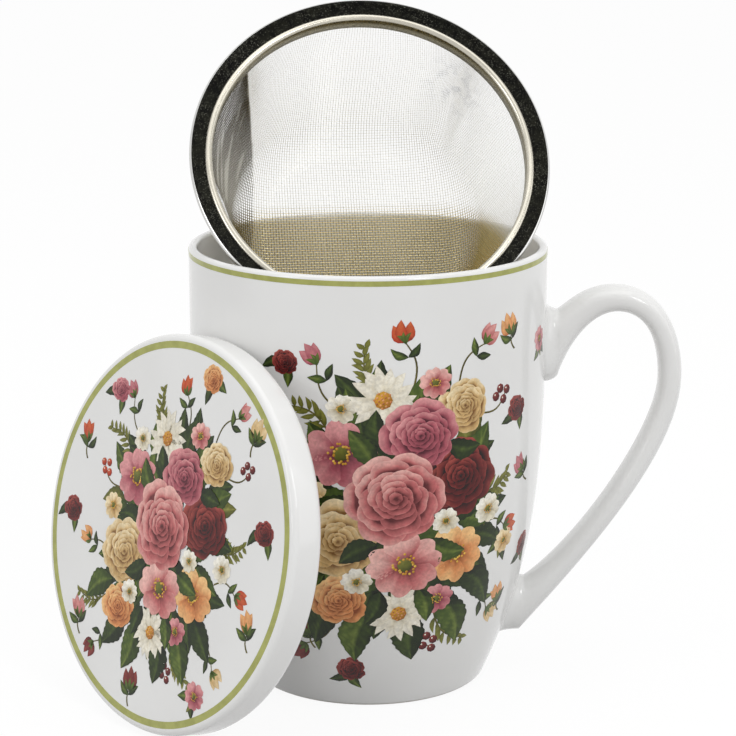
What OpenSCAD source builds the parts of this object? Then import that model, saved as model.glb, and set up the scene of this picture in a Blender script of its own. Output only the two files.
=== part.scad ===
// Lidded tea mug with a drop-in infuser, set out for show: the infuser tips back in the
// mug's mouth and the lid leans on the mug's wall. Millimetres, +Z up, origin on the
// mug's axis at the table. The handle points along +X.

/* [Mug] */
// Outer diameter at the rim
mug_d = 85; // [76:0.5:100]
// Height from the table to the rim
mug_h = 106; // [90:0.5:130]
// Wall thickness of the side
mug_wall = 3.2; // [2.4:0.1:4.5]
// Thickness of the rounded lip at the rim
lip_t = 2.1; // [1.6:0.1:3]
// Height of the straight band under the rim
straight_h = 7; // [3:0.5:15]
// Height of the cavity's floor over the table
floor_h = 6; // [4.5:0.1:9]
// Fillet between the cavity's floor and its wall
cavity_fillet = 9; // [4:0.5:14]
// Outer diameter of the foot
foot_d = 54; // [46:0.5:64]
// Width of the foot ring's flat face
foot_ring_w = 3.6; // [2:0.1:6]
// Depth of the hollow inside the foot ring
foot_hollow = 2; // [1:0.1:3]
// Rounding of the foot's outer edge
foot_round = 1.8; // [0.8:0.1:3]
// Angle of the wall where it leaves the foot, from level
foot_angle = 66; // [50:1:80]
// Pull of the wall's curve at the foot
foot_pull = 32.6; // [15:0.5:40]
// Pull of the wall's curve at the top
top_pull = 46; // [20:0.5:55]

/* [Handle] */
// Width of the strap, front to back
strap_w = 9.6; // [7:0.1:14]
// Extra width where the strap meets its pads
root_flare = 2.6; // [0:0.1:5]
// Share of the strap's length over which that extra width fades
flare_fade = 0.16; // [0.08:0.01:0.3]
// Outer reach of the handle from the mug's axis
handle_reach = 75.2; // [70:0.1:84]
// Depth of the handle's crown under the rim
crown_drop = 10.3; // [8:0.1:20]
// Reach of the crown from the mug's wall
crown_out = 16.4; // [13:0.1:20]
// Fall from the crown to the furthest point
side_fall = 21.9; // [18:0.1:27]
// Thickness of the strap at its crown
crown_t = 6.2; // [5:0.1:8]
// Thickness of the strap at its furthest point
side_t = 5.5; // [4.5:0.1:8]
// Thickness of the strap where it leaves the top pad
top_root_t = 15.3; // [12:0.1:18]
// Fall from the crown to the strap's top at the top pad
top_fall = 5.7; // [4:0.1:8]
// Reach of the strap's top end from the mug's wall
top_reach = 1.9; // [1.5:0.1:3]
// Thickness of the strap where it leaves the lower pad
low_root_t = 12.3; // [10:0.1:15]
// Height of the strap's lower end over the table
low_root_h = 10.4; // [9:0.1:16]
// Reach of the strap's lower end past the foot
low_reach = 9.6; // [8.5:0.1:11]
// Spread of the pads under the strap's ends
pad_spread = 2; // [0.5:0.1:3]
// Rise of the lower pad into the crook over the strap
crook_rise = 0.6; // [0.2:0.1:2]
// Height of the pads' edge over the mug's wall
pad_edge = 0.4; // [0.2:0.1:1]

/* [Infuser] */
// Reach of the infuser's rim past the crest of the mug's lip
rim_rest = 0.75; // [0.4:0.05:2]
// Width of the infuser's rim, from its outer edge to the mouth
rim_w = 5.35; // [4.8:0.05:9]
// Thickness of the pressed steel sheet
sheet_t = 0.5; // [0.4:0.1:1]
// Thickness of the rolled outer edge
roll_t = 1.6; // [1.6:0.1:2.4]
// Depth of the flange under the roll's top
flange_dish = 1.1; // [0.8:0.1:1.1]
// Height of the collar that holds the mesh, under the flange
collar_h = 3.4; // [2.5:0.1:6]
// Height of the clamping band's bead over the flange
bead_h = 0.6; // [0.4:0.1:1]
// Width of the clamping band's bead
bead_w = 1.8; // [1.6:0.1:2.4]
// Thickness of the woven mesh
mesh_t = 0.5; // [0.3:0.1:0.8]
// Depth of the basket, from the top of the rim
basket_depth = 44; // [30:0.5:44.5]
// Narrowing of the basket's radius down to its bottom corner
basket_taper = 6.4; // [5.5:0.1:16]
// Radius of the basket's bottom corner
basket_corner = 11; // [5:0.5:13]
// Pitch of the openings across the basket's bottom and up its side
net_pitch = 6; // [5:0.25:9]
// Openings round the basket's side
net_columns = 24; // [16:1:30]
// Share of the pitch that is open
net_open = 0.66; // [0.4:0.02:0.75]

/* [Lid] */
// Outer diameter of the lid
lid_d = 91.2; // [80:0.2:104]
// Thickness of the lid at its edge
lid_t = 8.8; // [6.5:0.1:11]
// Rounding of the printed face's edge
face_round = 1.5; // [0.8:0.1:3]
// Rounding of the underside's edge
seat_round = 2.6; // [1:0.1:3]
// Thickness of the plate inside the locating ring
plate_t = 4.2; // [3:0.1:6]
// Gap between the locating ring and the infuser's mouth
locate_gap = 2.1; // [0.5:0.1:4]
// Width of the locating ring
locate_w = 3.4; // [2:0.1:6]
// Height of the locating ring under the seat
locate_h = 2; // [1.5:0.1:6]
// Rounding of the locating ring's edges
locate_round = 0.8; // [0.4:0.1:1.4]

/* [Set-out] */
// Lean of the infuser's axis from upright, towards the front
tip_angle = 54.2; // [50:0.1:60]
// Turn of the infuser about the vertical
tip_turn = 6.9; // [-20:0.1:20]
// Height of the infuser's rim centre over the mug's rim
tip_rise = 21.5; // [20:0.1:24]
// Gap between the infuser's rim and the mug's lip
tip_gap = 1.2; // [0.8:0.1:2]
// Sideways place of the infuser in the mouth
tip_shift = 0.7; // [-1:0.1:1]
// Turn of the lid about the vertical, from the front towards the left
lean_turn = 49.1; // [30:0.1:70]
// Backward lean of the lid's face from upright
lean_angle = 12.1; // [5:0.1:25]
// Gap between the leaning lid and the mug's wall
lean_gap = 0.3; // [0.3:0.1:2]
// Sideways place of the leaning lid
lean_shift = -0.9; // [-5:0.1:5]

/* [Hidden] */
$fn = 96;
curve_steps = 28;       // steps along each curve of a profile
strap_steps = 16;       // rings along each third of the handle
strap_sides = 24;       // corners of one ring of the handle
strap_square = 2.5;     // 2 is an ellipse, more is squarer
pad_sink = 2.4;         // how far the pads start inside the wall's face
root_slant = 1.2;       // how far the strap's inner side stands off past its outer side at the top pad
crown_slant = 0.5;      // the same at the crown
side_slant = 0.9;       // the same at the furthest point, downwards
low_slant = 1.8;        // the same at the lower pad

mug_r = mug_d / 2;
foot_r = foot_d / 2;
lip_r = lip_t / 2;
rim_r = mug_r - lip_r + rim_rest;           // the rim rests on the lip when it hangs in the mug
mouth_r = rim_r - rim_w;
hoop_r = mouth_r + sheet_t;                 // outside of the clamping band
mesh_r = hoop_r + mesh_t;                   // outside of the mesh in the collar
locate_r = mouth_r - locate_gap;            // outside of the lid's locating ring
lid_r = lid_d / 2;

function lerp(a, b, t) = a + (b - a) * t;
function arc(c, r, a0, a1, n) = [for (i = [0:n]) c + r * [cos(lerp(a0, a1, i / n)), sin(lerp(a0, a1, i / n))]];
function bezier_at(p, t) =
    pow(1 - t, 3) * p[0] + 3 * pow(1 - t, 2) * t * p[1] + 3 * (1 - t) * t * t * p[2] + pow(t, 3) * p[3];
function slope_at(p, t) =
    pow(1 - t, 2) * (p[1] - p[0]) + 2 * (1 - t) * t * (p[2] - p[1]) + t * t * (p[3] - p[2]);
function bezier(p, n) = [for (i = [0:n]) bezier_at(p, i / n)];
function normal_at(p, t) = let (s = slope_at(p, t)) [s[1], -s[0]] / norm(s);

// ---- Mug ----
foot_centre = [foot_r, foot_round];
wall_start = foot_centre + foot_round * [cos(foot_angle - 90), sin(foot_angle - 90)];
wall_top = [mug_r, mug_h - straight_h];
wall_curve = [wall_start, wall_start + foot_pull * [cos(foot_angle), sin(foot_angle)],
              wall_top - [0, top_pull], wall_top];
outer_wall = bezier(wall_curve, curve_steps);
// the cavity follows the outside, one wall in, and thins to the lip at the top
inner_wall = [for (i = [0:curve_steps])
    let (t = i / curve_steps)
    bezier_at(wall_curve, t) - lerp(mug_wall, lip_t, t * t) * normal_at(wall_curve, t)];
inner_side = [for (p = inner_wall) if (p[1] > floor_h + cavity_fillet) p];
fillet_top = inner_side[0];
fillet_corner = [fillet_top[0] - 0.4 * cavity_fillet, floor_h];
fillet_end = [fillet_corner[0] - cavity_fillet, floor_h];
cavity_curve = bezier([fillet_end, lerp(fillet_end, fillet_corner, 0.7),
                       lerp(fillet_top, fillet_corner, 0.6), fillet_top], 12);
lip_centre = [mug_r - lip_r, mug_h - lip_r];

module revolve(points) {
    rotate_extrude()
        polygon(points);
}

module mug_body() {
    color("white")
        revolve(concat(
            [[0, foot_hollow], [foot_r - foot_ring_w - foot_hollow, foot_hollow]],
            [[foot_r - foot_ring_w, 0]],
            arc(foot_centre, foot_round, -90, foot_angle - 90, 6),
            outer_wall,
            arc(lip_centre, lip_r, 0, 180, 12),
            [for (i = [len(inner_side) - 1:-1:0]) inner_side[i]],
            [for (i = [len(cavity_curve) - 1:-1:0]) cavity_curve[i]],
            [[0, floor_h]]));
}

// Solid block inside the mug's outer face, which trims the handle's roots to it
module mug_block() {
    revolve(concat([[0, 0]], arc(foot_centre, foot_round, -90, foot_angle - 90, 6), outer_wall,
                   [[mug_r, mug_h], [0, mug_h]]));
}

// ---- Handle: a strap lofted between an outer and an inner rail, on a pad at either end ----
crown_z = mug_h - crown_drop;
// Knots of the rails: the top root, the crown, the furthest point and the lower root
outer_knots = [[mug_r + top_reach, crown_z - top_fall], [mug_r + crown_out, crown_z],
               [handle_reach, crown_z - side_fall], [foot_r + low_reach, low_root_h]];
inner_knots = [[mug_r + top_reach + root_slant, crown_z - top_fall - top_root_t],
               [mug_r + crown_out + crown_slant, crown_z - crown_t],
               [handle_reach - side_t, crown_z - side_fall - side_slant],
               [foot_r + low_reach + low_slant, low_root_h + low_root_t]];
// Pull of the rails at each knot, towards the next one and back towards the last one
outer_pull = [[1.4, -2], [9.8, 0], [10.7, 0], [0, 11.6], [0, 18.8], [17.9, 21.1]];
inner_pull = [[3.4, 9.7], [4.7, 0], [5.7, 0], [0, 11.6], [0, 12.6], [12.3, 8.3]];
function rail(knots, pull) = [
    [knots[0], knots[0] + pull[0], knots[1] - pull[1], knots[1]],
    [knots[1], knots[1] + pull[2], knots[2] + pull[3], knots[2]],
    [knots[2], knots[2] - pull[4], knots[3] + pull[5], knots[3]]];
outer_rail = rail(outer_knots, outer_pull);
inner_rail = rail(inner_knots, inner_pull);
strap_rings = [for (part = [0:2]) for (i = [(part == 0 ? 0 : 1):strap_steps])
    let (t = i / strap_steps,
         way = (part + t) / 3,
         flare = exp(-pow(way / flare_fade, 2)) + exp(-pow((1 - way) / flare_fade, 2)))
    [bezier_at(outer_rail[part], t), bezier_at(inner_rail[part], t), (strap_w + root_flare * flare) / 2]];

// A pad's rings: its edge in the groove round the strap, its foot on the wall, its sunk end
function wall_r(z) = lookup(z, [for (p = outer_wall) [p[1], p[0]]]);
function wall_ring(ring, outer_z, inner_z, out) =
    [[wall_r(outer_z) + out, outer_z], [wall_r(inner_z) + out, inner_z], ring[2] + pad_spread];
function pad_rim(ring, foot) =
    [lerp(ring[0], foot[0], 0.25), lerp(ring[1], foot[1], 0.25), lerp(ring[2], foot[2], 0.5)];
function pad(ring, outer_z, inner_z) =
    let (foot = wall_ring(ring, outer_z, inner_z, pad_edge))
    [wall_ring(ring, outer_z, inner_z, -pad_sink), foot, pad_rim(ring, foot)];
top_pad = pad(strap_rings[0], outer_knots[0][1] + pad_spread, inner_knots[0][1] - pad_spread);
foot_pad = pad(strap_rings[len(strap_rings) - 1], low_root_h - pad_spread, inner_knots[3][1] + crook_rise);
handle_rings = concat(top_pad, strap_rings, [foot_pad[2], foot_pad[1], foot_pad[0]]);

function power_wave(v) = sign(v) * pow(abs(v), 2 / strap_square);
function ring_points(ring) =
    let (mid = (ring[0] + ring[1]) / 2, half = (ring[0] - ring[1]) / 2)
    [for (k = [0:strap_sides - 1])
        let (a = 360 * k / strap_sides, p = mid + half * power_wave(cos(a)))
        [p[0], ring[2] * power_wave(sin(a)), p[1]]];

module strap() {
    n = strap_sides;
    rings = len(handle_rings);
    points = [for (ring = handle_rings) each ring_points(ring)];
    sides = [for (i = [0:rings - 2]) for (k = [0:n - 1]) for (half = [0, 1])
        let (a = i * n + k, b = i * n + (k + 1) % n)
        half == 0 ? [a, b, b + n] : [a, b + n, a + n]];
    start_cap = [[for (k = [n - 1:-1:0]) k]];
    end_cap = [[for (k = [0:n - 1]) (rings - 1) * n + k]];
    polyhedron(points, concat(sides, start_cap, end_cap), convexity = 6);
}

module mug_handle() {
    color("white")
        difference() {
            strap();
            mug_block();
        }
}

// ---- Infuser, drawn upright with the top of its rolled edge at z = 0 ----
flange_z = -flange_dish;
collar_z = flange_z - collar_h;
roll_r = roll_t / 2;
corner_z = -(basket_depth - basket_corner);
basket_r = mesh_r - basket_taper;

module infuser_place() {
    drop = tip_rise / sin(tip_angle);
    mouth_gap_r = mug_r - lip_t - tip_gap;      // circle that the tipped rim's ends lie on
    chord_y = -sqrt(pow(mouth_gap_r, 2) - pow(rim_r, 2) + pow(drop, 2));
    centre_y = chord_y + drop * cos(tip_angle);
    translate([tip_shift, centre_y, mug_h + tip_rise])
        rotate([0, 0, tip_turn])
            rotate([tip_angle, 0, 0])
                children();
}

module infuser_rim() {
    color("silver")
        infuser_place()
            rotate_extrude()
                union() {
                    translate([rim_r - roll_r, -roll_r])
                        circle(r = roll_r, $fn = 32);
                    translate([mesh_r, flange_z - sheet_t])
                        square([rim_r - roll_r - mesh_r, sheet_t]);
                    translate([mesh_r, collar_z])
                        square([sheet_t, collar_h]);
                }
}

// The clamping band's bead lies on the flange and closes the mesh's raw edge
module infuser_band() {
    half_w = bead_w / 2;
    arch_r = (half_w * half_w + bead_h * bead_h) / (2 * bead_h);
    arch_angle = asin(half_w / arch_r);
    color("silver")
        infuser_place()
            revolve(concat(
                [[mouth_r, collar_z], [hoop_r, collar_z], [hoop_r, flange_z]],
                arc([mouth_r + half_w, flange_z + bead_h - arch_r], arch_r,
                    90 - arch_angle, 90 + arch_angle, 8)));
}

// Basket, from its edge in the collar down to the middle of its bottom
basket_slope = atan2(mesh_r - basket_r, basket_depth - basket_corner + collar_z);
function basket_line(inset) = concat(
    [[mesh_r - inset, flange_z], [mesh_r - inset, collar_z]],
    arc([basket_r - basket_corner, corner_z], basket_corner - inset, -basket_slope, -90, 10),
    [[0, -basket_depth + inset]]);

// The net's openings: a square grid in the flat bottom, and rows round the side
module bottom_openings() {
    reach = basket_r - basket_corner / 4;
    count = floor(reach / net_pitch);
    width = net_open * net_pitch;
    for (i = [-count:count], k = [-count:count])
        if (net_pitch * norm([i, k]) + width / 2 < reach)
            translate([i * net_pitch, k * net_pitch, -basket_depth])
                cube([width, width, basket_corner], center = true);
}

module side_openings() {
    count = floor((collar_z - corner_z) / net_pitch);
    pitch = (collar_z - corner_z) / count;
    mean_r = (mesh_r + basket_r) / 2;
    width = net_open * 2 * PI * mean_r / net_columns;
    for (row = [0:count - 1], column = [0:net_columns - 1])
        rotate([0, 0, 360 * (column + 0.5) / net_columns])
            translate([mean_r, 0, corner_z + (row + 0.5) * pitch])
                cube([2 * basket_taper, width, net_open * pitch], center = true);
}

module infuser_basket() {
    inside = basket_line(mesh_t);
    color("lightgray")
        infuser_place()
            difference() {
                revolve(concat(basket_line(0), [for (i = [len(inside) - 1:-1:0]) inside[i]]));
                bottom_openings();
                side_openings();
            }
}

// ---- Lid, drawn face up with its seat at z = 0 ----
module lid_place() {
    seat_high = (lid_r - seat_round) * cos(lean_angle) + seat_round * (1 - sin(lean_angle));
    out = mug_r + lean_gap + locate_round
        + (locate_h - locate_round) * cos(lean_angle)
        + (locate_r - locate_round) * sin(lean_angle);
    rotate([0, 0, -lean_turn])
        translate([lean_shift, -out, seat_high])
            rotate([90 - lean_angle, 0, 0])
                children();
}

module lid() {
    ceiling = lid_t - plate_t;
    locate_in = locate_r - locate_w;
    color("white")
        lid_place()
            revolve(concat(
                [[0, lid_t]],
                arc([lid_r - face_round, lid_t - face_round], face_round, 90, 0, 8),
                arc([lid_r - seat_round, seat_round], seat_round, 0, -90, 8),
                [[locate_r, 0]],
                arc([locate_r - locate_round, locate_round - locate_h], locate_round, 0, -90, 5),
                arc([locate_in + locate_round, locate_round - locate_h], locate_round, -90, -180, 5),
                [[locate_in, ceiling - locate_round]],
                arc([locate_in - locate_round, ceiling - locate_round], locate_round, 0, 90, 5),
                [[0, ceiling]]));
}

mug_body();
mug_handle();
infuser_rim();
infuser_band();
infuser_basket();
lid();
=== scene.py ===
import random
from math import asin, atan2, ceil, copysign, cos, degrees, dist, exp, hypot, pi, radians, sin, sqrt, tau

import bmesh
import bpy
import numpy as np
from mathutils import Matrix, Vector


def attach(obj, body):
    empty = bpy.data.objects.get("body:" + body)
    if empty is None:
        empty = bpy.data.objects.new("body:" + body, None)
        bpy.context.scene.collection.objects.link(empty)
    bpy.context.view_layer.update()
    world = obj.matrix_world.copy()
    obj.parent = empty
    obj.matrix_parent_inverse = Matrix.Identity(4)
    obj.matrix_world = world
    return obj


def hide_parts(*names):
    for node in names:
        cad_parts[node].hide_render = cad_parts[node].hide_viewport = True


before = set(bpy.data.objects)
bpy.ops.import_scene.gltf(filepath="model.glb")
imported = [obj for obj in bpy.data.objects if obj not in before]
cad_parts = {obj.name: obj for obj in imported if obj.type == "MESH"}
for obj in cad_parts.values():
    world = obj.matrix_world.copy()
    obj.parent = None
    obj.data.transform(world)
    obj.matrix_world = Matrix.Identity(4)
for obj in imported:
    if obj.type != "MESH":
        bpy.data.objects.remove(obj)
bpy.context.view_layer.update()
mm = 0.001
weld = 1e-6  # points closer than this, in metres, become one


def workOn(piece=None):
    if bpy.context.mode != "OBJECT":
        bpy.ops.object.mode_set(mode="OBJECT")
    bpy.ops.object.select_all(action="DESELECT")
    if piece:
        piece.select_set(True)
        bpy.context.view_layer.objects.active = piece
    return piece


def wholeMesh():
    bpy.ops.mesh.select_all(action="SELECT")


def added(name, data):
    piece = bpy.data.objects.new(name, data)
    bpy.context.collection.objects.link(piece)
    return piece


def between(a, b, t):
    return a + (b - a) * t


def bezier(knots, t):
    a, b, c, d = knots
    return (1 - t) ** 3 * a + 3 * (1 - t) ** 2 * t * b + 3 * (1 - t) * t * t * c + t ** 3 * d


def bezierNormal(knots, t):
    a, b, c, d = knots
    slope = (1 - t) ** 2 * (b - a) + 2 * (1 - t) * t * (c - b) + t * t * (d - c)
    return Vector((slope.y, -slope.x)).normalized()


def stepped(x, y, turn, ahead, aside=0):
    # a point moved ahead in a direction, and aside to its left
    return x + ahead * cos(turn) - aside * sin(turn), y + ahead * sin(turn) + aside * cos(turn)


def arc(centre, radius, start, end, steps):
    turn = [radians(between(start, end, i / steps)) for i in range(steps + 1)]
    return [Vector(stepped(*centre, a, radius)) for a in turn]


def turned(name, outline, steps, closed=False):
    # the outline (radius, height) is drawn point by point with extrude, then spun round Z
    workOn()
    bpy.ops.mesh.primitive_plane_add(size=mm)
    piece = bpy.context.object
    piece.name = piece.data.name = name
    bpy.ops.object.mode_set(mode="EDIT")
    wholeMesh()
    bpy.ops.mesh.merge(type="CENTER")
    points = [Vector((p[0], 0, p[1])) * mm for p in outline]
    bpy.ops.transform.translate(value=points[0])
    for last, point in zip(points, points[1:] + points[:1] * closed):
        bpy.ops.mesh.extrude_region_move(TRANSFORM_OT_translate={"value": point - last})
    wholeMesh()
    bpy.ops.mesh.remove_doubles(threshold=weld)
    wholeMesh()
    bpy.ops.mesh.spin(steps=steps, angle=tau, center=(0, 0, 0), axis=(0, 0, 1))
    wholeMesh()
    bpy.ops.mesh.remove_doubles(threshold=weld)
    bpy.ops.mesh.normals_make_consistent(inside=False)
    bpy.ops.object.mode_set(mode="OBJECT")
    return piece


def smooth(piece, angle=35):
    workOn(piece)
    bpy.ops.object.shade_smooth_by_angle(angle=radians(angle))


def put(piece, place):
    workOn(piece)
    piece.matrix_world = place
    bpy.ops.object.transform_apply(location=True, rotation=True, scale=True)


def belongs(piece, body, slot, finish, *nodes):
    piece.data.materials.append(finish.material)
    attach(piece, body)
    if nodes:
        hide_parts(*nodes)
    return piece


class Value:
    # wraps an output socket, so that shader maths reads as expressions
    def __init__(self, finish, socket):
        self.finish, self.socket = finish, socket

    def calc(self, operation, *parts):
        return self.finish.node("ShaderNodeMath", dict(enumerate(parts)), operation=operation)

    def __add__(self, other):
        return self.calc("ADD", self, other)

    __radd__ = __add__

    def __mul__(self, other):
        return self.calc("MULTIPLY", self, other)

    __rmul__ = __mul__

    def __sub__(self, other):
        return self.calc("SUBTRACT", self, other)

    def __rsub__(self, other):
        return self.calc("SUBTRACT", other, self)

    def most(self, other):
        return self.calc("MAXIMUM", self, other)


class Finish:
    # one material: a Principled shader and the nodes that feed it
    def __init__(self, name, sockets):
        self.material = bpy.data.materials.new(name)
        self.material.use_nodes = True
        self.tree = self.material.node_tree
        self.shader = self.tree.nodes["Principled BSDF"]
        for socket, value in sockets.items():
            self.shader.inputs[socket].default_value = value

    def node(self, kind, sockets=None, output=0, **settings):
        made = self.tree.nodes.new(kind)
        for setting, value in settings.items():
            setattr(made, setting, value)
        for socket, value in (sockets or {}).items():
            if isinstance(value, Value):
                self.tree.links.new(value.socket, made.inputs[socket])
            else:
                made.inputs[socket].default_value = value
        return Value(self, made.outputs[output])

    def feed(self, socket, value):
        self.tree.links.new(value.socket, self.shader.inputs[socket])

    def place(self):
        return self.node("ShaderNodeTexCoord", output="Object")

    def part(self, vector, axis):
        return self.node("ShaderNodeSeparateXYZ", {"Vector": vector}, axis)

    def noise(self, place, scale, detail=2.0, roughness=0.5):
        sockets = {"Vector": place, "Scale": scale, "Detail": detail, "Roughness": roughness}
        return self.node("ShaderNodeTexNoise", sockets, "Fac")

    def spread(self, value, low, high, toLow=0.0, toHigh=1.0):
        sockets = {"Value": value, "From Min": low, "From Max": high, "To Min": toLow, "To Max": toHigh}
        return self.node("ShaderNodeMapRange", sockets, "Result", interpolation_type="SMOOTHSTEP")

    def mixColours(self, share, first, second):
        # a colour mix keeps its colours on sockets 6 and 7 and its result on output 2
        first, second = [c if isinstance(c, Value) else (*c, 1) for c in (first, second)]
        return self.node("ShaderNodeMix", {0: share, 6: first, 7: second}, 2, data_type="RGBA")

    def bump(self, height, strength, distance):
        sockets = {"Height": height, "Strength": strength, "Distance": distance}
        self.feed("Normal", self.node("ShaderNodeBump", sockets, "Normal"))


def colour(red, green, blue):
    # a colour as seen on a screen, 0 to 255, made linear
    return tuple(((c / 255 + 0.055) / 1.055) ** 2.4 for c in (red, green, blue))


# scales of noise are in waves to the metre
porcelain = {
    "white": (0.80, 0.80, 0.79),
    "shade": (0.765, 0.762, 0.75), "cloud": 28.0,  # where the glaze pools a little
    "roughness": 0.09, "rougher": 0.03, "smears": 140.0,
    "ripples": 75.0, "pits": 190.0, "relief": (0.12, 0.06 * mm),
    "clay": (0.66, 0.63, 0.58), "darkClay": (0.52, 0.49, 0.44), "grain": 2500.0,
    "footHeight": 0.45 * mm,  # the foot ring is bare clay up to here
}


def glazedPorcelain(name, footRing=False):
    glaze = Finish(name, {"IOR": 1.5})
    place = glaze.place()
    cloud = glaze.noise(place, porcelain["cloud"], 3.0)
    white = glaze.mixColours(glaze.spread(cloud, 0.35, 0.7), porcelain["white"], porcelain["shade"])
    smears = glaze.spread(glaze.noise(place, porcelain["smears"]), 0.4, 0.7)
    rough = porcelain["roughness"] + smears * porcelain["rougher"]
    ripple = glaze.noise(place, porcelain["ripples"], 1.0)
    pits = glaze.node("ShaderNodeTexVoronoi", {"Vector": place, "Scale": porcelain["pits"]}, "Distance")
    height = ripple * 0.5 + glaze.spread(pits, 0.0, 0.12) * 0.08
    if footRing:
        rise = glaze.part(place, "Z")
        bare = glaze.spread(rise, porcelain["footHeight"], porcelain["footHeight"] * 2, 1.0, 0.0)
        grain = glaze.noise(place, porcelain["grain"], 4.0)
        clay = glaze.mixColours(grain * 0.25, porcelain["clay"], porcelain["darkClay"])
        white = glaze.mixColours(bare, white, clay)
        rough = rough + bare * 0.6
        height = height + grain * bare * 0.3
    glaze.feed("Base Color", white)
    glaze.feed("Roughness", rough)
    glaze.bump(height, *porcelain["relief"])
    return glaze


bodyGlaze = glazedPorcelain("porcelainGlazeMug", footRing=True)
handleGlaze = glazedPorcelain("porcelainGlazeHandle")
lidGlaze = glazedPorcelain("porcelainGlazeLid")

enamel = {"light": colour(169, 171, 92), "deep": colour(154, 156, 80), "mottle": 420.0, "roughness": 0.1}
lineEnamel = Finish("greenLineEnamel", {"IOR": 1.5})
lineTone = lineEnamel.spread(lineEnamel.noise(lineEnamel.place(), enamel["mottle"], 3.0), 0.3, 0.7)
lineEnamel.feed("Base Color", lineEnamel.mixColours(lineTone, enamel["light"], enamel["deep"]))
lineEnamel.feed("Roughness", enamel["roughness"] + lineTone * 0.06)

sheet = {  # tint, roughness, and how much rougher the scuffs are
    "rim": ((0.66, 0.655, 0.64), 0.16, 0.12),
    "band": ((0.58, 0.55, 0.47), 0.22, 0.12),
    # the band's inner hoop is the same steel, painted dark as shade inside the ring
    "hoop": ((0.20, 0.175, 0.105), 0.26, 0.14),
    "cloud": 90.0, "cloudShade": 0.86, "scuffs": 1400.0, "relief": (0.25, 0.02 * mm),
}


def steelFinish(name, tint, rough, rougher):
    # rolled and polished sheet: fine random scuffs and a faint cloudiness
    steel = Finish(name, {"Metallic": 1.0})
    place = steel.place()
    cloud = steel.spread(steel.noise(place, sheet["cloud"], 3.0), 0.3, 0.7)
    scuff = steel.noise(place, sheet["scuffs"], 4.0, 0.7)
    steel.feed("Base Color", steel.mixColours(cloud, tint, tuple(c * sheet["cloudShade"] for c in tint)))
    steel.feed("Roughness", rough + steel.spread(scuff, 0.4, 0.75) * rougher)
    steel.bump(scuff, *sheet["relief"])
    return steel


rimSteel = steelFinish("polishedRolledEdge", *sheet["rim"])
bandSteel = steelFinish("brightClampingBand", *sheet["band"])
hoopShadeSteel = steelFinish("bandInnerHoopShaded", *sheet["hoop"])

wire = {
    # the wires that run across are painted lighter than those that run along the basket, painted light on one
    # steel;
    # each way has its tone where clean, where painted with shade and reflection below the mug's mouth, and
    # where painted dark as shade
    "across": ((0.88, 0.86, 0.78), (0.94, 0.80, 0.45), (0.11, 0.082, 0.026)),
    "along": ((0.62, 0.60, 0.53), (0.34, 0.275, 0.13), (0.02, 0.015, 0.004)),
    # below the mug's mouth the wires are painted with shade and reflection from inside the mug
    "insideShadeTop": 110.0 * mm, "insideShadeLow": 105.0 * mm,
    # left of the crushed edge the wires are painted dark as shade, more towards the top
    "crushedShaded": -28.6 * mm, "crushedTop": 138.0 * mm,  # left of here from the front, most at the top
    # painted highlights: streaks along the creases where the painted shade is lifted
    "paintedGlints": (300.0, 300.0, 40.0), "paintedGlintShare": 0.45,  # brighter creases in the crushed part
    # a painted shade spot: round this place the wires are painted dark, with a blotchy edge
    "shadeSpot": (20.5 * mm, 24 * mm, 140.5 * mm), "shadeSpotReach": 13.0 * mm, "shadeSpotShare": 0.9,
    "blotches": 300.0, "ragged": 0.8 * mm, "roughness": 0.30,
}


def wireFinish(name, clean, shadedInside, paintedShade):
    steel = Finish(name, {"Metallic": 1.0})
    place = steel.place()
    across, rise = steel.part(place, "X"), steel.part(place, "Z")
    blotch = steel.noise(place, wire["blotches"], 3.0, 0.6)
    # painted shade and reflection below the mug's mouth
    insideShade = steel.spread(rise, wire["insideShadeLow"], wire["insideShadeTop"], 1.0, 0.0)
    edge = across + blotch * wire["ragged"]
    # painted shade over the crushed part, with a ragged edge, more towards the top
    crushedShaded = steel.spread(edge, wire["crushedShaded"], wire["crushedShaded"] + wire["ragged"], 1.0, 0.0)
    crushedShaded = crushedShaded * steel.spread(rise, wire["insideShadeTop"], wire["crushedTop"], 0.6, 0.98)
    # painted highlights along the creases lift the painted shade
    drawn = steel.node("ShaderNodeVectorMath", {0: place, 1: wire["paintedGlints"]}, operation="MULTIPLY")
    paintedGlint = steel.spread(steel.noise(drawn, 1.0, 1.0), 0.56, 0.70)
    crushedShaded = crushedShaded * (1 - paintedGlint * wire["paintedGlintShare"])
    # painted shade spot, blotchy at its edge
    away = steel.node("ShaderNodeVectorMath", {0: place, 1: wire["shadeSpot"]}, "Value", operation="DISTANCE")
    shadeSpot = steel.spread(away, 0.0, wire["shadeSpotReach"], 1.0, 0.0) * steel.spread(blotch, 0.46, 0.60)
    tint = steel.mixColours(insideShade, clean, shadedInside)
    # the painted shade and the painted shade spot take the wires to their dark tone
    steel.feed("Base Color", steel.mixColours(crushedShaded.most(shadeSpot * wire["shadeSpotShare"]), tint, paintedShade))
    scuff = steel.spread(steel.noise(place, sheet["scuffs"], 4.0, 0.7), 0.4, 0.75)
    steel.feed("Roughness", wire["roughness"] + scuff * 0.1)
    return steel


acrossSteel = wireFinish("drawnWireAcross", *wire["across"])
alongSteel = wireFinish("drawnWireAlong", *wire["along"])

# the flange's steel is painted near-black, a painted dark reflection, with fine bright grains as painted
# glints
darkFlange = {
    "dark": (0.002, 0.002, 0.0014), "mottled": (0.012, 0.012, 0.008), "mottle": 500.0,
    "bright": (0.10, 0.10, 0.08), "glintGrains": 5200.0, "glintFrom": 0.82, "patches": 130.0,
    "roughness": 0.62, "dents": 1800.0, "relief": (0.5, 0.05 * mm),
}


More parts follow.
